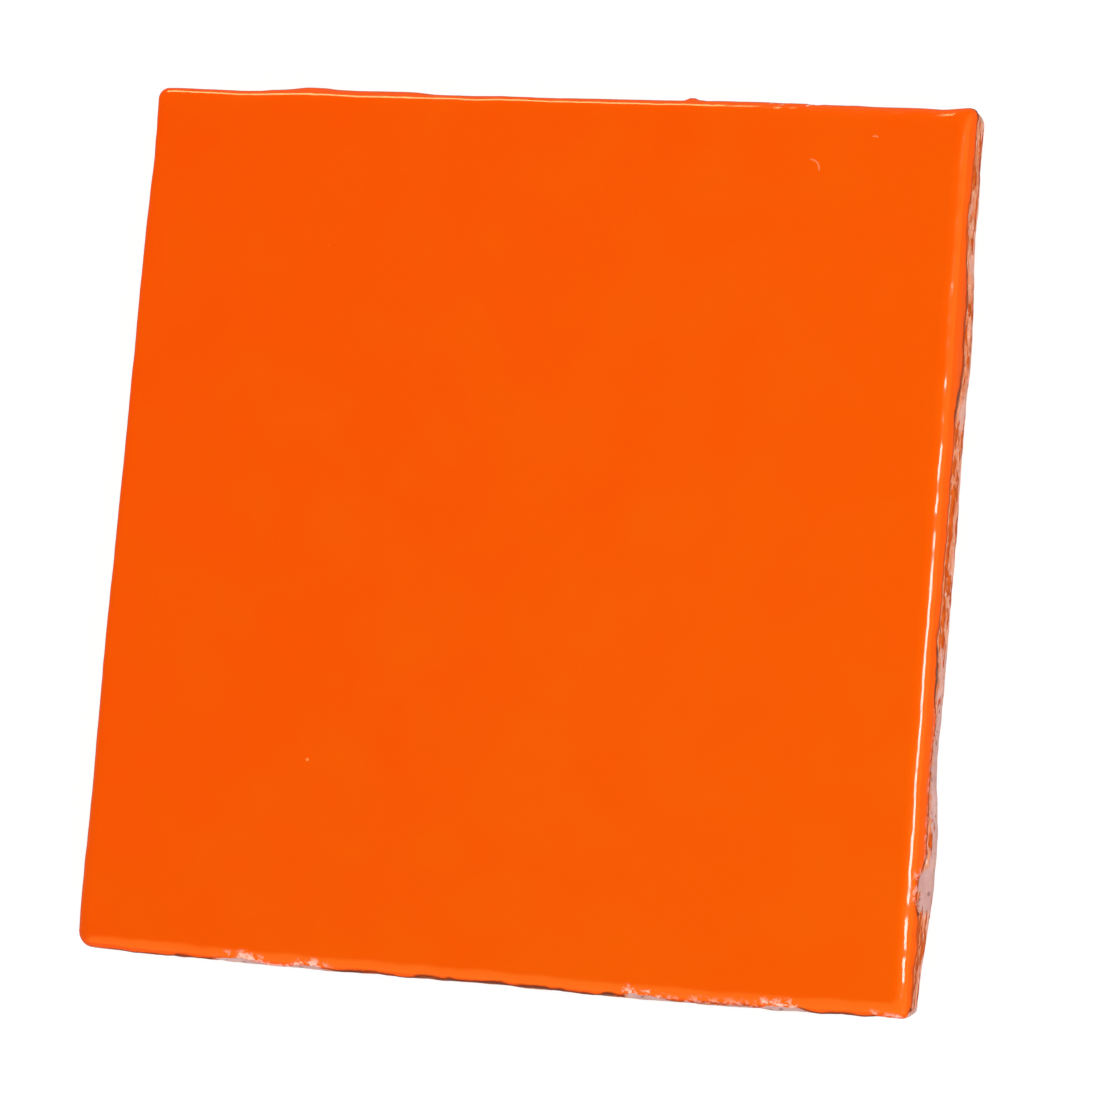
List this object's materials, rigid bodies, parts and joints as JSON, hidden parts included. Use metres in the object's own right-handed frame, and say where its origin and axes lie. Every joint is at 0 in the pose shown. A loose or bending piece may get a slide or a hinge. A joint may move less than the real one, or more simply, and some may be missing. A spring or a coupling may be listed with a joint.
{
  "type": "glazed ceramic tile",
  "caption": "Square flat wall tile with a glossy orange glazed face, a rolled glazed rim, small rounded corners and bare pink clay on its sides and back.",
  "frame": {"origin": "centre of the flat back face, which the tile rests on", "axes": "+Z out of the glazed face; +X to the right and +Y up as the glazed face is looked at; the square's sides run along X and Y"},
  "size_m": [0.108, 0.108, 0.0063],
  "materials": {
    "orange_glaze": "gloss"
  },
  "bodies": {
    "root": {"tile": "orange_glaze"}
  },
  "joints": []
}
